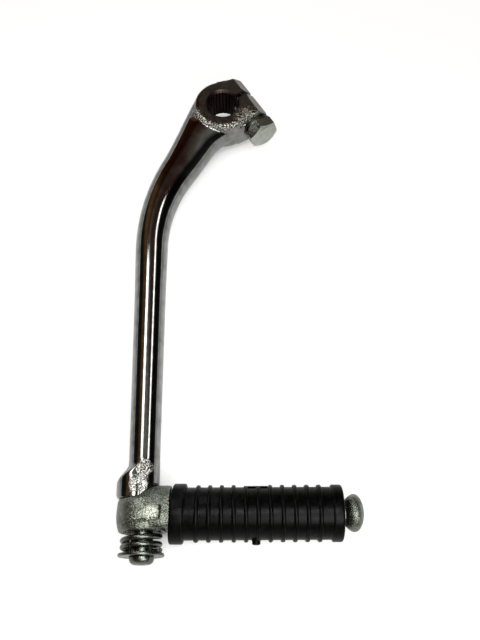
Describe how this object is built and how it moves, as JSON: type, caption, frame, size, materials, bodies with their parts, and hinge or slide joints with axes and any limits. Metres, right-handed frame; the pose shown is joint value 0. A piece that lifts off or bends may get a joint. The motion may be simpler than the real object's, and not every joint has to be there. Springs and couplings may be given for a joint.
{
  "type": "kick start lever",
  "caption": "Bent kick start lever with a splined pinch clamp at one end and a spring-loaded folding foot pedal with a ribbed rubber grip at the other.",
  "frame": {"origin": "on the axis of the splined bore, halfway along the bore", "axes": "+Z along the bore axis towards the face that shows, -Y along the shank towards the pedal, +X the way the folded pedal points"},
  "size_m": [0.1007, 0.2361, 0.024],
  "materials": {
    "arm_chrome": "worn bright chrome over a forging, sparkling coarse on the clamp",
    "pin_steel": "bright turned steel",
    "spring_steel": "zinc plated wire",
    "washer_steel": "zinc plated, slightly dulled",
    "bolt_zinc": "zinc plated, pale grey-green",
    "pedal_zinc": "zinc plated rough forging, grey-green",
    "grip_rubber": "black moulded rubber, matt"
  },
  "bodies": {
    "lever": {"arm": "arm_chrome", "pivot_pin": "pin_steel", "joint_spring": "spring_steel", "seat_washer": "washer_steel", "pinch_bolt": "bolt_zinc", "lock_washer": "washer_steel"},
    "pedal": {"pedal": "pedal_zinc", "grip_rubber": "grip_rubber"}
  },
  "joints": [
    {"name": "pedal_fold", "type": "hinge", "parent": "lever", "child": "pedal", "pos_m": [-0.0343, -0.1983, -0.0025], "axis": [0, 1, 0], "range_deg": [0, 90]}
  ]
}
